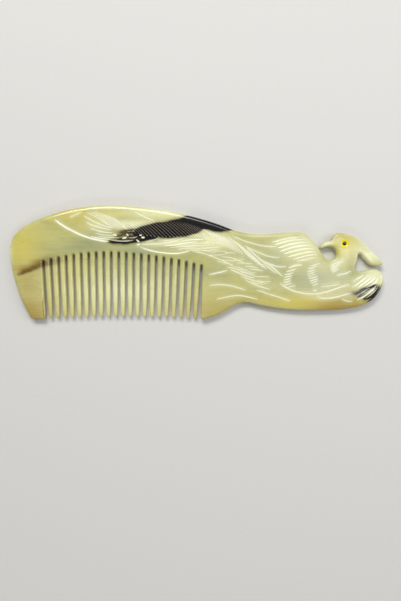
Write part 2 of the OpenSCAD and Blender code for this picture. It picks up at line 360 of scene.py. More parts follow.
TAIL_LINES = [
    (BROAD, [(85.4, -6.2), (82, -8.1), (78.6, -10.3)]),
    (BROAD, [(87.4, -6.4), (84, -9.1), (81, -11.4), (78.4, -13.2)]),
    (BROAD, [(89.3, -6.6), (86, -9.6), (83.4, -11.6), (80.8, -13.6)]),
    (BROAD, [(91, -6.9), (88.8, -9.2), (86, -11.6), (83.4, -13.2)]),
    (BROAD, [(92.4, -7.8), (90.6, -10.2), (88, -12), (85.6, -13.2)]),
    (FINE, [(88.2, -13.1), (86, -14.2), (83.8, -15.6), (81.4, -17)]),
    (FINE, [(89.8, -12.9), (87.6, -14.4), (85.4, -15.9), (83, -17.4)]),
    (BROAD, [(91.4, -11.8), (89.6, -13.6), (87.6, -15.3), (85.4, -17), (83.4, -18.2), (81, -19.4)]),
    (FINE, [(92, -12.8), (90, -15.2), (87.8, -17.1), (85.4, -18.6)]),
    (FINE, [(92.6, -15), (90.6, -17.2), (88.4, -18.8), (86, -19.8)]),
]

# Rows of barbs: width of a cut, how many, how far their middles bow out to the right of the way they
# run, the curve that they start on and the curve that they end on.
BARB_ROWS = [
    (FINE, 9, -0.55, [(-56.6, 25.8), (-54, 26.4), (-50.5, 25.8), (-47, 24.6), (-43, 23.1)],
     [(-43, 17.4), (-41.4, 16.5), (-39.2, 16.1), (-37, 16), (-34.5, 15.9)]),
    (THREAD, 25, -0.3,
     [(-42, 21.6), (-37, 21), (-31, 20.8), (-22, 20.9), (-14, 20.8), (-7, 20.2), (0, 18.3)],
     [(-33.4, 14.6), (-28, 13.4), (-18, 12.2), (-9, 12.2), (-2, 12.2), (5, 10.6), (11, 8.4)]),
    (MEDIUM, 8, -0.5, [(3, 16.8), (6, 15.9), (9, 14.9), (12, 13.8), (14.6, 13.2)],
     [(12.6, 8), (16.5, 6.6), (20, 5), (22, 4), (24, 3.2)]),
    (MEDIUM, 6, -0.4, [(16, 13), (18.5, 11.4), (21, 9.6)], [(27, 2.2), (31.5, -1.4), (36, -4.2)]),
]

# Spacing of the points along a barb row's curves and along an engraved line
BARB_STEP = 0.1
STROKE_STEP = 0.75
# Least number of steps in a short line
LEAST_STEPS = 8
# A cut's depth for its half width, its greatest depth, and the gap that it keeps from the rounded edge
CUT_SLOPE = 1.1
CUT_DEEPEST = 0.3
CUT_CLEARANCE = 0.12
# A cut narrows over this length at each end, to this share of its width at the tip. Its depth comes in
# over the next share of the width.
TAPER_LENGTH = 4.0
TAPER_POWER = 0.6
TIP_SHARE = 0.12
FADE_SHARE = 0.5
# Depth of the faintest cut, as a share of the clearest one's
DEPTH_LEAST = 0.35
# Gap beside a cut that still takes its clarity, and width of the scratched haze round it
SIDE_MARGIN = 0.05
HAZE_REACH = 1.1
# Points looked at together, to keep the arrays small
BATCH = 2000


def smooth_line(points, step):
    """Points about a step apart on the smooth curve that runs through the given ones."""
    points = np.array(points, float)
    padded = np.vstack([2 * points[0] - points[1], points, 2 * points[-1] - points[-2]])
    curve = []
    for a, b, c, d in zip(padded, padded[1:], padded[2:], padded[3:]):
        count = max(1, round(np.linalg.norm(c - b) / step))
        for t in np.arange(count) / count:
            curve.append(0.5 * (2 * b + (c - a) * t + (2 * a - 5 * b + 4 * c - d) * t**2
                                + (3 * b - a - 3 * c + d) * t**3))
    return np.vstack([curve, points[-1]])


def barbs():
    """All rows of barbs as engraved lines."""
    lines = []
    for width, count, bow, starts, ends in BARB_ROWS:
        first, last = smooth_line(starts, BARB_STEP), smooth_line(ends, BARB_STEP)
        for share in np.arange(count) / (count - 1):
            start, end = first[round(share * (len(first) - 1))], last[round(share * (len(last) - 1))]
            run = end - start
            side = np.array([run[1], -run[0]]) / np.linalg.norm(run)
            lines.append((width, [start, (start + end) / 2 + bow * side, end]))
    return lines


# How white each group's cuts are
CLARITY = ((1.0, BACK_LINES), (0.8, SHOULDER_LINES), (1.0, SPECKS), (0.6, UNDER_PATCH_LINES),
           (0.7, HANDLE_LINES), (0.4, WING_LINES), (0.8, BODY_LINES), (1.0, NECK_LINES),
           (0.75, TAIL_LINES), (0.72, barbs()))


def inside(points, loop):
    """Whether each point is inside a closed loop."""
    found = np.zeros(len(points), bool)
    after = np.roll(loop, -1, axis=0)
    for first in range(0, len(points), BATCH):
        part = points[first:first + BATCH]
        x, y = part[:, :1], part[:, 1:]
        spans = (loop[:, 1] > y) != (after[:, 1] > y)
        rise = np.where(after[:, 1] == loop[:, 1], 1, after[:, 1] - loop[:, 1])
        cross = loop[:, 0] + (y - loop[:, 1]) / rise * (after[:, 0] - loop[:, 0])
        found[first:first + BATCH] = (spans & (x < cross)).sum(1) % 2 == 1
    return found


def tree_of(points):
    """Search tree of 2-D points."""
    tree = KDTree(len(points))
    for i, point in enumerate(points):
        tree.insert((point[0], point[1], 0), i)
    tree.balance()
    return tree


def distances(points, tree):
    """Distance from each point to the nearest one in the tree."""
    return np.array([tree.find((x, y, 0))[2] for x, y in points])


def stroke_halves(line, width):
    """Half width of the cut along a line, which runs out to a fine tip at both ends."""
    along = lengths_along(line)
    to_end = np.minimum(along, along[-1] - along)
    reach = min(TAPER_LENGTH, along[-1] / 2)
    return width / 2 * np.clip(TIP_SHARE + (to_end / reach) ** TAPER_POWER, 0, 1)


def stroke_sides(line, halves):
    """Left and right edge of a cut."""
    along = np.gradient(line, axis=0)
    along /= np.linalg.norm(along, axis=1, keepdims=True)
    across = np.column_stack([-along[:, 1], along[:, 0]]) * halves[:, None]
    return line + across, line - across


def engraved_strokes(inner_loops):
    """Each engraved line as (points, half widths, clarity): its longest run clear of the rounded edges."""
    edge_tree = tree_of(np.vstack(inner_loops))
    strokes = []
    for clarity, group in CLARITY:
        for width, points in group:
            reach = math.dist(points[0], points[-1])
            line = smooth_line(points, min(STROKE_STEP, reach / LEAST_STEPS))
            clear = inside(line, inner_loops[0]) & (distances(line, edge_tree) > width / 2 + CUT_CLEARANCE)
            breaks = np.flatnonzero(np.diff(clear)) + 1
            runs = [part for part in np.split(np.arange(len(line)), breaks) if clear[part[0]]]
            longest = max(runs, key=len, default=())
            if len(longest) > 2:
                strokes.append((line[longest], stroke_halves(line[longest], width), clarity))
    return strokes


def nearest_on_line(points, line):
    """Distance from each point to a line, the segment that is nearest and the share along it."""
    start, span = line[:-1], np.diff(line, axis=0)
    away = points[:, None] - start
    share = np.clip((away * span).sum(2) / (span**2).sum(1), 0, 1)
    distance = np.linalg.norm(away - share[..., None] * span, axis=2)
    segment = distance.argmin(1)
    rows = np.arange(len(points))
    return distance[rows, segment], segment, share[rows, segment]


def cut_profile(points, strokes):
    """Depth into a cut's section from 0 to 1, its depth in mm, its clarity, and the haze round it."""
    share, depth, clear, haze = np.zeros((4, len(points)))
    for line, halves, clarity in strokes:
        reach = halves.max() + 2 * HAZE_REACH
        near = np.where(((points > line.min(0) - reach) & (points < line.max(0) + reach)).all(1))[0]
        if len(near) == 0:
            continue
        distance, segment, along = nearest_on_line(points[near], line)
        half = halves[segment] + along * np.diff(halves)[segment]
        level = np.clip(1 - distance / half, 0, 1)
        fade = np.clip((half / halves.max() - TIP_SHARE) / FADE_SHARE, 0, 1)
        deepest = np.minimum(half * CUT_SLOPE, CUT_DEEPEST)
        deepest = deepest * (DEPTH_LEAST + (1 - DEPTH_LEAST) * clarity)
        share[near] = np.maximum(share[near], level * fade)
        depth[near] = np.maximum(depth[near], level * fade * deepest)
        clear[near] = np.maximum(clear[near], np.where(distance < half + SIDE_MARGIN, clarity, 0))
        haze[near] = np.maximum(haze[near], clarity * fade * np.exp(-(distance / HAZE_REACH) ** 2))
    return share, depth, clear, haze


# ---------------------------------------- colour zones of the horn, with some painted highlights and sheen

BLACK_PATCH = [(-31.6, 13), (-33, 14.6), (-31, 15.6), (-31.4, 16.8), (-28, 18), (-25, 18.8), (-22, 19.4),
               (-19, 20), (-14, 20.8), (-9, 21.8), (-4, 23.6), (4, 22.2), (10, 20.2), (16, 18),
               (18.5, 16.3), (16, 15.6), (12, 15), (9, 15.4), (6, 16.2), (4, 16.4), (2, 15.2), (0, 14.3),
               (-2, 13.8), (-5, 12.8), (-10, 12.3), (-14, 11.9), (-18, 12), (-20, 12.7), (-26, 11.7),
               (-30, 12)]
# Black strokes at the patch's end and in the tail: width and points
BLACK_STROKES = [
    (1.6, [(-44.6, 10.4), (-42, 10), (-39, 9.7), (-35, 9.6), (-30, 10.4)]),
    (1.6, [(-38, 9.4), (-34, 9.7), (-31, 10.2), (-26, 11.4), (-18, 13)]),
    (0.9, [(-41, 12.7), (-38.6, 13.1), (-36.5, 13.9), (-33, 15)]),
    (1.1, [(-38.6, 14.8), (-36, 15.5), (-33, 16.1), (-30, 16.4)]),
    (1.5, [(-36.6, 12.9), (-34.4, 12.8), (-31, 13)]),
    (1.2, [(-35.4, 14.3), (-33, 14.8), (-30, 15)]),
    (1.0, [(-41.6, 11.9), (-37, 11.5), (-31, 11.8), (-28, 11.7)]),
    (2.2, [(80, -16.6), (82.6, -15.4), (85, -14.1), (88, -13), (91.6, -12.2)]),
    (1.6, [(81.6, -17.8), (84.5, -16.4), (87, -14.8), (90.4, -12.8)]),
    (2.0, [(84.8, -19.2), (88.6, -17.3), (90.6, -15.5), (93, -12.2)]),
    (2.6, [(87, -20.4), (91.4, -18), (93.4, -15.6), (95.6, -11)]),
]
# Spacing of the points along a black stroke, and how far outside the black its distance is still told
BLACK_STEP = 0.3
DARK_REACH = 4.0
# Place where the cuts are only a dull grey, because they don't reach through the black
HATCHED = [(-36, 12.6), (-36, 24), (6, 24), (3.6, 15.4), (-2, 13.2), (-19, 12.8), (-25, 13.6), (-31, 13.6)]

BROWN_STREAK = [(-90.3, -6.8), (-88.6, -6.1), (-86, -5.1), (-83, -3.8), (-80, -2.5), (-76, -1.1),
                (-72, -0.2), (-66, 0.4), (-60, 0.8)]
STREAK_STEP = 1.0
# Along the streak, as shares of its length: half width and strength
STREAK_HALVES = ((0, 0.7), (0.2, 1.0), (0.45, 1.5), (1, 1.5))
STREAK_STRENGTHS = ((0, 0.6), (0.1, 0.95), (0.45, 0.8), (0.7, 0.5), (1, 0))
# Spread of the streak's colour above and below its line, as a multiple of its half width
STREAK_ABOVE = 2.0
STREAK_BELOW = 0.7

# Soft oval zones: middle, radii and strength
BROWN_ZONES = [
    ((-35.6, 14.2), (5, 2.2), 0.85), ((-40, 10.1), (5, 1.3), 0.8), ((-30, 11.5), (6, 1.6), 0.8),
    ((-20, 10.6), (5, 1.3), 0.4), ((-13, 7.3), (7, 1), 0.5), ((-85, -3.2), (5, 1.7), 0.4),
    ((-80, -0.8), (3.4, 1.8), 0.5), ((79.5, -15.8), (4, 1.4), 0.6), ((86, -18.6), (4, 1.2), 0.4),
]
AMBER_ZONES = [
    ((-84, -27), (10, 12), 1.0), ((-85, -12), (7, 10), 0.6), ((-86.6, -3.6), (5.5, 2.2), 1.0),
    ((-81, -0.8), (4, 2.2), 1.0), ((8, -24), (13, 8), 0.5), ((20, -20), (12, 5), 0.3),
    ((74, -23), (16, 4.2), 1.0), ((90, 0.2), (6, 1.6), 0.5),
]
# Yellow zones, the horn's own yellow. The two zones over the teeth, (-60, -18) and (-26, -20), also
# lighten the teeth as painted light on their curved sides.
YELLOW_TONE_AND_LIT_TEETH_ZONES = [
    ((-89, 7), (9, 12), 1.0), ((-62, 24), (14, 5), 0.8), ((-46, 24.3), (12, 1.8), 1.0),
    ((-60, -18), (20, 15), 1.0), ((-26, -20), (32, 14), 0.75), ((30, 12.5), (8, 1.6), 0.2),
    ((50, -21), (22, 4), 1.0), ((74.5, -2.4), (2.6, 2.2), 0.6), ((76.5, 8), (7.5, 6.5), 1.0),
]
# Pale zones, partly the horn's own paler tone and partly painted light. The zone at the left edge (-95.6,
# 4), the narrow band at the top edge (-42, 27.6) and the zone at the beak (66.4, 8.6) are painted
# highlights. The band below the top edge (-20, 25) is partly paler horn and partly the painted highlight
# of that edge. The zone over the teeth (-38, -15) is painted light on their curved sides. The zones on the
# wing (52, 8), the crest (88.5, 4.8) and the tail (91, -8) are half whiter horn and half painted sheen.
PALE_TONE_AND_HIGHLIGHT_ZONES = [
    ((-95.6, 4), (2, 10), 1.0), ((-49, 19), (7, 4.5), 0.4), ((-42, 27.6), (14, 1.2), 0.6),
    ((-33, 19.4), (11, 2.4), 0.8), ((-20, 25), (20, 3.4), 0.75), ((-38, -15), (36, 12), 0.8),
    ((-10, 9.4), (18, 3), 0.85), ((8, 10.6), (10, 4.4), 0.85), ((22, 1), (16, 7), 0.25),
    ((26, 4), (12, 4), 0.2), ((32, 13.5), (9, 2), 0.4), ((36, -12), (9, 4), 0.2),
    ((52, 8), (14, 6.5), 0.7), ((66.4, 8.6), (3, 2.2), 0.9), ((70, 0), (2.6, 2.6), 0.4),
    ((69.4, -2.6), (1.4, 2), 0.6), ((88.5, 4.8), (10, 7), 1.0), ((91, -8), (7, 5.5), 1.0),
]
GREY_ZONES = [
    ((-54, 8), (16, 5.5), 1.0), ((-30, 6), (16, 4), 1.0), ((10, -6), (12, 6), 0.6),
    ((14, 4), (10, 4), 0.5), ((34, -3), (16, 9), 0.8), ((40, 3), (8, 5), 0.9),
    ((58, -9), (15, 7), 1.0), ((74, -5), (10, 6.5), 1.0),
]


def signed_distance(points, loop):
    """Distance to a closed loop, positive inside it."""
    after = np.roll(loop, -1, axis=0)
    nearest = np.full(len(points), np.inf)
    for a, b in zip(loop, after):
        span = b - a
        t = np.clip(((points - a) @ span) / (span @ span), 0, 1)
        nearest = np.minimum(nearest, np.linalg.norm(points - a - t[:, None] * span, axis=1))
    return np.where(inside(points, loop), nearest, -nearest)


def darkness(points):
    """Distance into the black parts of the horn, negative outside them."""
    dark = signed_distance(points, np.array(BLACK_PATCH, float))
    for width, line in BLACK_STROKES:
        line = smooth_line(line, BLACK_STEP)
        for place, half in zip(line, stroke_halves(line, width)):
            dark = np.maximum(dark, half - np.linalg.norm(points - place, axis=1))
    return np.maximum(dark, -DARK_REACH)


def zone_strength(points, zones):
    """Strength of soft oval zones at each point."""
    strength = np.zeros(len(points))
    for middle, radii, most in zones:
        away = (points - np.array(middle)) / np.array(radii)
        strength = np.maximum(strength, most * np.exp(-(away**2).sum(1)))
    return strength


def brown_strength(points):
    """Strength of the brown growth: the streak across the end guard, and the brown zones."""
    line = smooth_line(BROWN_STREAK, STREAK_STEP)
    strength = zone_strength(points, BROWN_ZONES)
    for i, place in enumerate(line):
        share = i / (len(line) - 1)
        half = np.interp(share, *zip(*STREAK_HALVES))
        away = points - place
        away[:, 1] /= np.where(away[:, 1] > 0, STREAK_ABOVE, STREAK_BELOW)
        fall = np.exp(-(away**2).sum(1) / (2 * half**2))
        strength = np.maximum(strength, np.interp(share, *zip(*STREAK_STRENGTHS)) * fall)
    return strength


# ---------------------------------------- mesh of the plate

GRID_STEP = 0.95
GRID_TO_EDGE = 0.45
GRID_TO_CUT = 0.35
# Finer grid in these boxes, where the black runs out in thin strokes
FINE_GRID_STEP = 0.55
FINE_BOXES = (((-45, 8), (-25, 17)), ((77, -21), (95, -11)))
ROW_STEP = math.sqrt(3) / 2
# Distance within which the triangulation takes two points as one
SAME_POINT = 1e-6
# Depth of the eye pocket under the ring and under the bead, and the bead's share of the ring's radius
RING_DEPTH = 1.0
BEAD_DEPTH = 1.6
BEAD_SHARE = 1.05 / 2.2
# Depth in mm from which a place counts as cut
LEAST_DEPTH = 1e-4
SHARP_ANGLE = math.radians(24)


def hexagonal_grid(low, high, step):
    """Points of a hexagonal grid over a box."""
    points = []
    rows = int((high[1] - low[1]) / (step * ROW_STEP)) + 1
    columns = int((high[0] - low[0]) / step) + 1
    for row in range(rows):
        for column in range(columns):
            points.append((low[0] + (column + row % 2 / 2) * step, low[1] + row * step * ROW_STEP))
    return np.array(points)


def face_grid(inner_loops, cut_points):
    """Grid points on a face, clear of its edges and of the cuts."""
    edge_points = np.vstack(inner_loops)
    grid = hexagonal_grid(edge_points.min(0), edge_points.max(0), GRID_STEP)
    for low, high in FINE_BOXES:
        grid = grid[~((grid > low) & (grid < high)).all(1)]
        grid = np.vstack([grid, hexagonal_grid(low, high, FINE_GRID_STEP)])
    grid = grid[inside(grid, inner_loops[0])]
    for hole in inner_loops[1:]:
        grid = grid[~inside(grid, hole)]
    grid = grid[distances(grid, tree_of(edge_points)) > GRID_TO_EDGE]
    return grid[distances(grid, tree_of(cut_points)) > GRID_TO_CUT]


def face_triangles(inner_loops, strokes):
    """Points and triangles of one face inside its rounded edges, and the places of the loops' points."""
    edges = []
    first = 0
    for loop in inner_loops:
        count = len(loop)
        edges += [(first + i, first + (i + 1) % count) for i in range(count)]
        first += count
    edge_count = first
    cut_points = []
    for line, halves, _ in strokes:
        for track in (line, *stroke_sides(line, halves)):
            edges += [(first + i, first + i + 1) for i in range(len(track) - 1)]
            first += len(track)
            cut_points.append(track)
    cut_points = np.vstack(cut_points)
    everything = np.vstack([*inner_loops, cut_points, face_grid(inner_loops, cut_points)])
    made = delaunay_2d_cdt([Vector(p) for p in everything], edges, [], 0, SAME_POINT)
    out = np.array([tuple(p) for p in made[0]])
    from_loops = np.zeros(len(out), bool)
    place = np.full(edge_count, -1)
    for index, sources in enumerate(made[3]):
        for source in sources:
            if source < edge_count:
                from_loops[index] = True
                place[source] = index
    triangles = np.array(made[2])
    middles = out[triangles].mean(1)
    unsure = from_loops[triangles].all(1)
    keep = np.ones(len(triangles), bool)
    keep[unsure] = inside(middles[unsure], inner_loops[0])
    for hole in inner_loops[1:]:
        keep[unsure] &= ~inside(middles[unsure], hole)
    return out, triangles[keep], place


class Builder:
    """Gathers the plate's vertices with their four cut values, and its faces."""

    def __init__(self):
        self.places = []
        self.faces = []
        self.cuts = []

    def add(self, points, heights, cuts=None):
        """New vertices at these points and heights. Returns their indices."""
        first = len(self.places)
        self.places += [(x, y, z) for (x, y), z in zip(points, heights)]
        self.cuts.append(np.zeros((4, len(points))) if cuts is None else cuts)
        return list(range(first, len(self.places)))

    def face(self, corners, side):
        """Face with its corners in this order on the front, and turned over on the back."""
        self.faces.append(tuple(corners) if side > 0 else tuple(corners[::-1]))

    def band(self, above, below, side):
        """Ring of faces between two closed rings of vertices."""
        for i in range(len(above)):
            j = (i + 1) % len(above)
            self.face((below[i], below[j], above[j], above[i]), side)


def add_rim(builder, ring, outer, normals, widths, side):
    """Rounded edge from the face's ring of vertices out to the plate's side. Returns its last ring."""
    halves = half_thickness(outer)
    heights = np.minimum(RIM_HEIGHT, RIM_SHARE_OF_THICKNESS * halves)
    for step in range(1, RIM_STEPS + 1):
        angle = math.pi / 2 * (1 - step / RIM_STEPS)
        inset = widths * (1 - math.cos(angle))
        level = halves - crown(widths) - heights * (1 - math.sin(angle))
        below = builder.add(outer + normals * inset[:, None], MIDDLE_Z + side * level)
        builder.band(ring, below, side)
        ring = below
    return ring


def add_pocket(builder, ring, eye, side):
    """Stepped pocket for an eye ring and its bead, down from the face's ring of vertices."""
    middle = (eye.min(0) + eye.max(0)) / 2
    for share, down in ((1, RING_DEPTH), (BEAD_SHARE, RING_DEPTH), (BEAD_SHARE, BEAD_DEPTH)):
        level = np.full(len(eye), MIDDLE_Z + side * (HALF_THICK - down))
        below = builder.add(middle + (eye - middle) * share, level)
        builder.band(ring, below, side)
        ring = below
    builder.face(ring[::-1], side)


def horn_plate():
    """The whole horn plate as one closed mesh."""
    outline, eye = plate_loops()[:2]
    outer_fine = rounded(even_points(outline, FINE_STEP), ROUNDING_PASSES)
    outer = thinned_out(outer_fine)
    normals = inward_normals(outer)
    widths = rim_widths(outer, normals, outer_fine)
    inner_loops = [outer + normals * widths[:, None], eye]
    strokes = engraved_strokes(inner_loops)
    points, triangles, place = face_triangles(inner_loops, strokes)
    cuts = np.array(cut_profile(points, strokes))
    cuts[:, place] = 0
    depth = cuts[1]
    face_height = half_thickness(points) - crown(distances(points, tree_of(outer_fine)))
    builder = Builder()
    edges = []
    for side in (1, -1):
        face = builder.add(points, MIDDLE_Z + side * (face_height - depth), cuts)
        for corners in (triangles + face[0]).tolist():
            builder.face(corners, side)
        ring = [face[index] for index in place]
        edges.append(add_rim(builder, ring[:len(outer)], outer, normals, widths, side))
        add_pocket(builder, ring[len(outer):], eye, side)
    builder.band(*edges, 1)
    return builder


def mesh_object(name, places, faces, material):
    """Smooth-shaded object from places in millimetres."""
    mesh = bpy.data.meshes.new(name)
    mesh.from_pydata([tuple(c * MM for c in place) for place in places], [], faces)
    mesh.validate()
    mesh.update()
    mesh.polygons.foreach_set("use_smooth", [True] * len(mesh.polygons))
    mesh.materials.append(material)
    made = bpy.data.objects.new(name, mesh)
    bpy.context.scene.collection.objects.link(made)
    return made


def paint(mesh, name, values):
    """Point attribute that the horn's material reads."""
    layer = mesh.attributes.new(name, "FLOAT", "POINT")
    layer.data.foreach_set("value", np.asarray(values, np.float32))


def sharpen_cuts(mesh, depth):
    """Marks the edges where the cuts' walls meet the polished face, so that the face stays level."""
    cut_faces = [any(depth[index] > LEAST_DEPTH for index in face.vertices) for face in mesh.polygons]
    sides = {}
    for polygon in mesh.polygons:
        for key in polygon.edge_keys:
            sides.setdefault(key, []).append(cut_faces[polygon.index])
    for edge in mesh.edges:
        if len(set(sides[edge.key])) > 1:
            edge.use_edge_sharp = True


def horn_comb(material):
    """The horn plate, in place of the nine CAD sections of it."""
    builder = horn_plate()
    comb = mesh_object("horn_comb", builder.places, builder.faces, material)
    flat = np.array(builder.places)[:, :2]
    cut, depth, clarity, haze = np.hstack(builder.cuts)
    paint(comb.data, "cut", cut)
    paint(comb.data, "clarity", clarity)
    paint(comb.data, "haze", haze)
    paint(comb.data, "hatched", inside(flat, np.array(HATCHED, float)))
    paint(comb.data, "dark", darkness(flat))
    paint(comb.data, "streak", brown_strength(flat))
    paint(comb.data, "amber", zone_strength(flat, AMBER_ZONES))
    # The yellow attribute also carries painted light on the teeth
    paint(comb.data, "yellow", zone_strength(flat, YELLOW_TONE_AND_LIT_TEETH_ZONES))
    # The pale attribute carries painted highlights and sheen as well as the horn's paler tone
    paint(comb.data, "pale", zone_strength(flat, PALE_TONE_AND_HIGHLIGHT_ZONES))
    paint(comb.data, "grey", zone_strength(flat, GREY_ZONES))
    comb.data.set_sharp_from_angle(angle=SHARP_ANGLE)
    sharpen_cuts(comb.data, depth)
    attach(comb, "root")
    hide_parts(*HORN_NODES)


# ---------------------------------------- eyes

LATHE_STEPS = 64
PROFILE_STEPS = 6
# Rounding of the ring's outer lip, and how far the ring dips towards the bead
RING_EDGE = 0.12
RING_DISH = 0.4
DISH_POWER = 1.5
BEAD_CLEARANCE = 0.02
RING_SHARP_ANGLE = math.radians(40)
BEAD_SHARP_ANGLE = math.radians(50)


def radius_and_depth(node):
    """Radius and depth of an eye piece in millimetres."""
    low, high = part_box(node)
    return (high.x - low.x) / 2 / MM, (high.z - low.z) / MM


def middle_of(node):
    """Middle of a node in millimetres."""
    low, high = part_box(node)
    return (low + high) / 2 / MM


def turned(name, profile, middle, side, material):
    """Closed shape turned about the eye's axis from (radius, height) points, on the front or the back."""
    places, faces = [], []
    rings = []
    for radius, height in profile:
        level = MIDDLE_Z + side * (height - MIDDLE_Z)
        if radius == 0:
            rings.append([len(places)] * LATHE_STEPS)
            places.append((middle.x, middle.y, level))
            continue
        rings.append(list(range(len(places), len(places) + LATHE_STEPS)))
        for i in range(LATHE_STEPS):
            angle = 2 * math.pi * i / LATHE_STEPS
            places.append((middle.x + radius * math.cos(angle),
                           middle.y + radius * math.sin(angle), level))
    closed = profile[0][0] > 0
    for a, b in zip(rings, rings[1:] + rings[:1] if closed else rings[1:]):
        for i in range(LATHE_STEPS):
            j = (i + 1) % LATHE_STEPS
            corners = []
            for index in (a[i], a[j], b[j], b[i]):
                if index not in corners:
                    corners.append(index)
            faces.append(tuple(corners if side > 0 else corners[::-1]))
    return mesh_object(name, places, faces, material)


def eye_ring(face, side, material):
    """Yellow ring with a soft outer lip and a dish towards the bead."""
    node = "eye_ring_" + face
    radius, depth = radius_and_depth(node)
    bead_radius = radius_and_depth("eye_bead_" + face)[0]
    top = PLATE_HIGH
    profile = [(bead_radius, top - depth), (radius, top - depth), (radius, top - RING_EDGE)]
    for i in range(1, PROFILE_STEPS + 1):
        angle = math.pi / 2 * i / PROFILE_STEPS
        profile.append((radius - RING_EDGE * (1 - math.cos(angle)),
                        top - RING_EDGE * (1 - math.sin(angle))))
    for i in range(1, PROFILE_STEPS + 1):
        share = i / PROFILE_STEPS
        profile.append((radius - RING_EDGE - (radius - RING_EDGE - bead_radius) * share,
                        top - RING_DISH * math.sin(math.pi / 2 * share) ** DISH_POWER))
    ring = turned(node + "_inlay", profile, middle_of(node), side, material)
    ring.data.set_sharp_from_angle(angle=RING_SHARP_ANGLE)
    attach(ring, "root")
    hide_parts(node)


def eye_bead(face, side, material):
    """Black bead with a domed top."""
    node = "eye_bead_" + face
    radius, depth = radius_and_depth(node)
    radius -= BEAD_CLEARANCE
    top = PLATE_HIGH
    profile = [(0, top - depth), (radius, top - depth), (radius, top - RING_DISH)]
    for i in range(1, PROFILE_STEPS + 1):
        angle = math.pi / 2 * i / PROFILE_STEPS
        profile.append((radius * math.cos(angle) if i < PROFILE_STEPS else 0,
                        top - RING_DISH * (1 - math.sin(angle))))
    bead = turned(node + "_inlay", profile, middle_of(node), side, material)
    bead.data.set_sharp_from_angle(angle=BEAD_SHARP_ANGLE)
    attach(bead, "root")
    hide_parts(node)


# ---------------------------------------- materials

# Attributes that tint the horn: name, most of the tint, colour. The pale tint is partly painted highlights
# and sheen, and the yellow tint over the teeth is partly painted light.
TINTS = (("grey", 0.75, "#9aa27c"), ("yellow", 0.85, "#d8ca62"), ("amber", 0.9, "#a98a22"),
         ("pale", 0.9, "#f7f9cc"), ("haze", 0.35, "#eef2cf"))


def srgb(text):
    """Linear colour from a hexadecimal one."""
    channels = [int(text[i:i + 2], 16) / 255 for i in (1, 3, 5)]
    return (*[c / 12.92 if c <= 0.04045 else ((c + 0.055) / 1.055) ** 2.4 for c in channels], 1)


class Nodes:
    """Short calls that add and join the nodes of one material."""

    def __init__(self, name):
        self.material = bpy.data.materials.new(name)
        self.material.use_nodes = True
        self.tree = self.material.node_tree
        self.shader = self.tree.nodes["Principled BSDF"]

    def put(self, socket, value):
        if isinstance(value, bpy.types.NodeSocket):
            self.tree.links.new(value, socket)
        else:
            socket.default_value = value

    def shade(self, inputs):
        """Sets inputs of the material's shader."""
        for name, value in inputs.items():
            self.put(self.shader.inputs[name], value)

    def add(self, kind, inputs=None, **settings):
        node = self.tree.nodes.new(kind)
        for key, value in settings.items():
            setattr(node, key, value)
        for key, value in (inputs or {}).items():
            self.put(node.inputs[key], value)
        return node

    def plus(self, a, b):
        return self.add("ShaderNodeMath", {0: a, 1: b}, operation="ADD").outputs[0]

    def times(self, a, b):
        return self.add("ShaderNodeMath", {0: a, 1: b}, operation="MULTIPLY").outputs[0]

    def mix(self, share, a, b):
        """Colour between two others."""
        node = self.add("ShaderNodeMix", data_type="RGBA")
        self.put(node.inputs["Factor"], share)
        self.put(node.inputs["A"], a)
        self.put(node.inputs["B"], b)
        return node.outputs["Result"]

    def ramp(self, value, low, high):
        """Smooth rise from 0 to 1 between two values."""
        node = self.add("ShaderNodeMapRange", {"Value": value, "From Min": low, "From Max": high},
                        interpolation_type="SMOOTHSTEP")
        return node.outputs["Result"]

    def attribute(self, name):
        return self.add("ShaderNodeAttribute", attribute_name=name).outputs["Fac"]

    def place(self, scale):
        """Object coordinates in millimetres, scaled along each axis."""
        coordinates = self.add("ShaderNodeTexCoord").outputs["Object"]
        return self.add("ShaderNodeMapping", {"Vector": coordinates,
                                              "Scale": [s / MM for s in scale]}).outputs["Vector"]

    def noise(self, scale, detail, roughness, distortion=0.0):
        node = self.add("ShaderNodeTexNoise", {"Vector": self.place(scale), "Scale": 1.0, "Detail": detail,
                                               "Roughness": roughness, "Distortion": distortion})
        return node.outputs["Fac"]


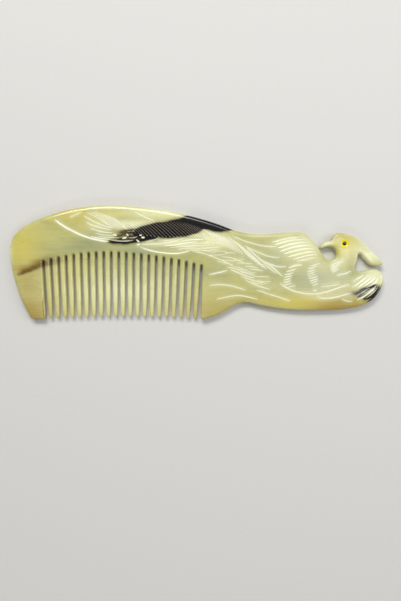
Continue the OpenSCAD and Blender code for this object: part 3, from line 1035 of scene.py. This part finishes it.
def horn_material():
    """Polished translucent horn: clouds and fibres along the comb, black and brown growth, white cuts, and
    tints that partly paint highlights, sheen and light on the teeth.
    """
    n = Nodes("polished_horn")
    clouds = n.noise((0.045, 0.11, 0.11), 3, 0.6, 0.6)
    fibres = n.noise((0.05, 1.5, 0.5), 4, 0.6, 0.4)
    fine = n.noise((0.25, 5.0, 2.0), 3, 0.6)
    mottle = n.noise((0.14, 0.3, 0.3), 4, 0.6, 0.8)
    wander = n.noise((0.16, 0.5, 0.5), 4, 0.65, 0.3)
    colour = n.mix(n.ramp(clouds, 0.32, 0.68), srgb("#b5b272"), srgb("#cac57c"))
    # Zone tints: the pale one is partly painted highlights and sheen, and the yellow one over the teeth is
    # partly painted light
    for name, most, tint in TINTS:
        colour = n.mix(n.times(n.attribute(name), most), colour, srgb(tint))
    colour = n.mix(n.times(n.ramp(fibres, 0.42, 0.75), 0.24), colour, srgb("#d9d6a6"))
    colour = n.mix(n.times(n.ramp(mottle, 0.5, 0.75), 0.22), colour, srgb("#99975f"))
    colour = n.mix(n.times(n.ramp(fine, 0.5, 0.8), 0.08), colour, srgb("#8f8a55"))
    # Brown growth, broken up along the fibres
    streak = n.times(n.attribute("streak"), n.plus(n.times(wander, 0.9), 0.55))
    colour = n.mix(n.ramp(streak, 0.05, 1.1), colour, srgb("#5f4006"))
    # Black growth with an uneven edge and a brown halo
    edge = n.plus(n.attribute("dark"), n.times(n.plus(wander, -0.5), 1.5))
    edge = n.plus(edge, n.plus(fibres, -0.5))
    black = n.ramp(edge, -0.35, 0.45)
    colour = n.mix(n.times(n.ramp(edge, -1.4, 0.5), 0.65), colour, srgb("#5a4a2a"))
    colour = n.mix(black, colour, srgb("#070504"))
    # White cuts, dull where they are hatched into the black
    cut = n.times(n.ramp(n.attribute("cut"), 0.02, 0.5), n.attribute("clarity"))
    cut_colour = n.mix(n.times(black, n.attribute("hatched")), srgb("#fdfce4"), srgb("#8f8474"))
    colour = n.mix(n.times(cut, 0.9), colour, cut_colour)
    bump = n.add("ShaderNodeBump", {"Height": n.plus(n.times(fibres, 0.6), n.times(fine, 0.4)),
                                    "Strength": 0.08, "Distance": 0.05 * MM})
    n.shader.subsurface_method = "RANDOM_WALK"
    n.shade({"Base Color": colour,
             "Roughness": n.plus(n.plus(n.times(fibres, 0.1), 0.14), n.times(cut, 0.3)),
             "Subsurface Weight": 0.3,
             "Subsurface Radius": (1.0, 0.85, 0.4),
             "Subsurface Scale": 2.5 * MM,
             "IOR": 1.54,
             "Coat Weight": 0.25,
             "Coat Roughness": 0.12,
             "Normal": bump.outputs["Normal"]})
    return n.material


def ring_material():
    """Glossy lemon yellow inlay, warmer where the pigment is thicker."""
    n = Nodes("yellow_inlay")
    cloud = n.noise((0.5, 0.5, 0.5), 3, 0.6)
    grain = n.noise((6.0, 6.0, 6.0), 2, 0.5)
    colour = n.mix(n.ramp(cloud, 0.35, 0.7), srgb("#fff000"), srgb("#f0cf08"))
    n.shade({"Base Color": n.mix(n.times(grain, 0.15), colour, srgb("#fff27a")),
             "Roughness": n.plus(n.times(grain, 0.1), 0.18),
             "Subsurface Weight": 0.1,
             "Subsurface Scale": 0.5 * MM,
             "Coat Weight": 0.4,
             "Coat Roughness": 0.08})
    return n.material


def bead_material():
    """Polished black bead with a faint brown depth."""
    n = Nodes("black_bead")
    cloud = n.noise((1.2, 1.2, 1.2), 2, 0.5)
    n.shade({"Base Color": n.mix(cloud, srgb("#0c0b0b"), srgb("#1d1613")),
             "Roughness": n.plus(n.times(cloud, 0.06), 0.06),
             "Coat Weight": 0.6,
             "Coat Roughness": 0.04})
    return n.material


def floor_material():
    """Plain pale matt paper."""
    n = Nodes("pale_floor")
    fibre = n.noise((0.6, 0.6, 0.6), 4, 0.6)
    n.shade({"Base Color": n.mix(fibre, srgb("#d8d7d3"), srgb("#dedcd8")),
             "Roughness": 0.85,
             "Specular IOR Level": 0.2})
    return n.material


# ---------------------------------------- floor, lights and camera

FLOOR_HALF = 2000.0
FLOOR_DROP = 0.05
# Places in millimetres. The comb lies above the middle of the picture, as in the photo.
CAMERA_AT = (2.1, -19.6, 241.0)
CAMERA_LENS = 28.0
CAMERA_SENSOR = 36.0
CLIP_NEAR, CLIP_FAR = 0.01, 20
# Soft boxes: name, place, size, watts and tint
LIGHTS = (("key", (-160, 520, 620), (520, 260), 3.6, (1.0, 0.985, 0.96)),
          ("fill", (620, 60, 420), (300, 400), 1.3, (0.97, 0.99, 1.0)),
          ("front", (-120, -640, 460), (500, 220), 1.0, (1.0, 1.0, 1.0)),
          ("sheen", (230, 70, 620), (230, 120), 0.3, (1.0, 1.0, 0.98)),
          ("strip", (40, 440, 640), (900, 60), 1.3, (1.0, 1.0, 1.0)))
WORLD_COLOUR = (0.9, 0.92, 0.95, 1)
WORLD_STRENGTH = 0.25


def make_floor():
    """Flat pale floor just under the comb."""
    z = PLATE_LOW - FLOOR_DROP
    corners = [(-FLOOR_HALF, -FLOOR_HALF, z), (FLOOR_HALF, -FLOOR_HALF, z), (FLOOR_HALF, FLOOR_HALF, z),
               (-FLOOR_HALF, FLOOR_HALF, z)]
    floor = mesh_object("floor", corners, [(0, 1, 2, 3)], floor_material())


def make_lights():
    """Soft boxes turned to the comb's middle, and a pale world."""
    for name, place, size, watts, tint in LIGHTS:
        lamp = bpy.data.lights.new(name, "AREA")
        lamp.shape = "RECTANGLE"
        lamp.size, lamp.size_y = size[0] * MM, size[1] * MM
        lamp.energy = watts
        lamp.color = tint
        made = bpy.data.objects.new(name, lamp)
        made.location = Vector(place) * MM
        made.rotation_euler = (-made.location).to_track_quat("-Z", "Y").to_euler()
        bpy.context.scene.collection.objects.link(made)
    world = bpy.data.worlds.new("studio")
    world.use_nodes = True
    sky = world.node_tree.nodes["Background"]
    sky.inputs["Color"].default_value = WORLD_COLOUR
    sky.inputs["Strength"].default_value = WORLD_STRENGTH
    bpy.context.scene.world = world


def make_camera():
    """Camera that looks straight down, as in the photo."""
    lens = bpy.data.cameras.new("camera")
    lens.lens = CAMERA_LENS
    lens.sensor_width = CAMERA_SENSOR
    lens.clip_start, lens.clip_end = CLIP_NEAR, CLIP_FAR
    camera = bpy.data.objects.new("camera", lens)
    camera.location = Vector(CAMERA_AT) * MM
    bpy.context.scene.collection.objects.link(camera)
    bpy.context.scene.camera = camera


horn_comb(horn_material())
ring_look = ring_material()
bead_look = bead_material()
for face, side in (("front", 1), ("back", -1)):
    eye_ring(face, side, ring_look)
    eye_bead(face, side, bead_look)
make_floor()
make_lights()
make_camera()
bpy.context.scene.view_settings.view_transform = "Standard"
